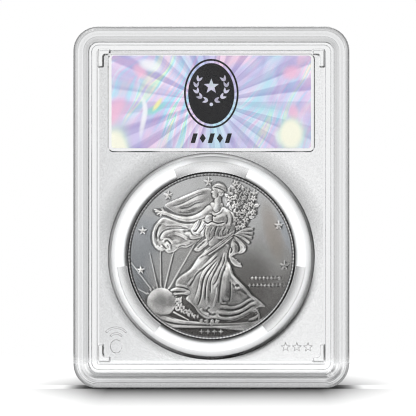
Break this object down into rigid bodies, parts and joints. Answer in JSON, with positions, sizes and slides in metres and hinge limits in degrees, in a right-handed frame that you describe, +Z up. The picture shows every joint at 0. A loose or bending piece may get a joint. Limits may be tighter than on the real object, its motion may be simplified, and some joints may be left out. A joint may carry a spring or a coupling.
{
  "type": "graded coin slab",
  "caption": "Sealed clear case of two welded shells that displays a silver coin in a soft ring below a foil grading label.",
  "frame": {"origin": "middle of the bottom edge the slab stands on, on the parting plane of its two shells", "axes": "+Z up the slab, -Y out of its front, +X to the right as seen from the front"},
  "size_m": [0.066, 0.0094, 0.0865],
  "materials": {
    "clear_case": "clear polished moulding with a frosted inner field",
    "clear_weld": "clear melted bead",
    "gasket": "milky soft moulding",
    "silver": "struck silver with satin relief",
    "foil": "pastel holographic foil with black print",
    "card": "smooth white card",
    "film": "clear film",
    "antenna": "etched foil track",
    "chip": "bare die",
    "seal": "embossed foil sticker"
  },
  "bodies": {
    "root": {"front_shell": "clear_case", "rear_shell": "clear_case", "weld_bead": "clear_weld", "coin_gasket": "gasket", "coin": "silver", "label_foil": "foil", "label_front_card": "card", "tag_film": "film", "tag_antenna": "antenna", "tag_bridge": "antenna", "tag_chip": "chip", "label_rear_card": "card", "hologram_seal": "seal"}
  },
  "joints": []
}
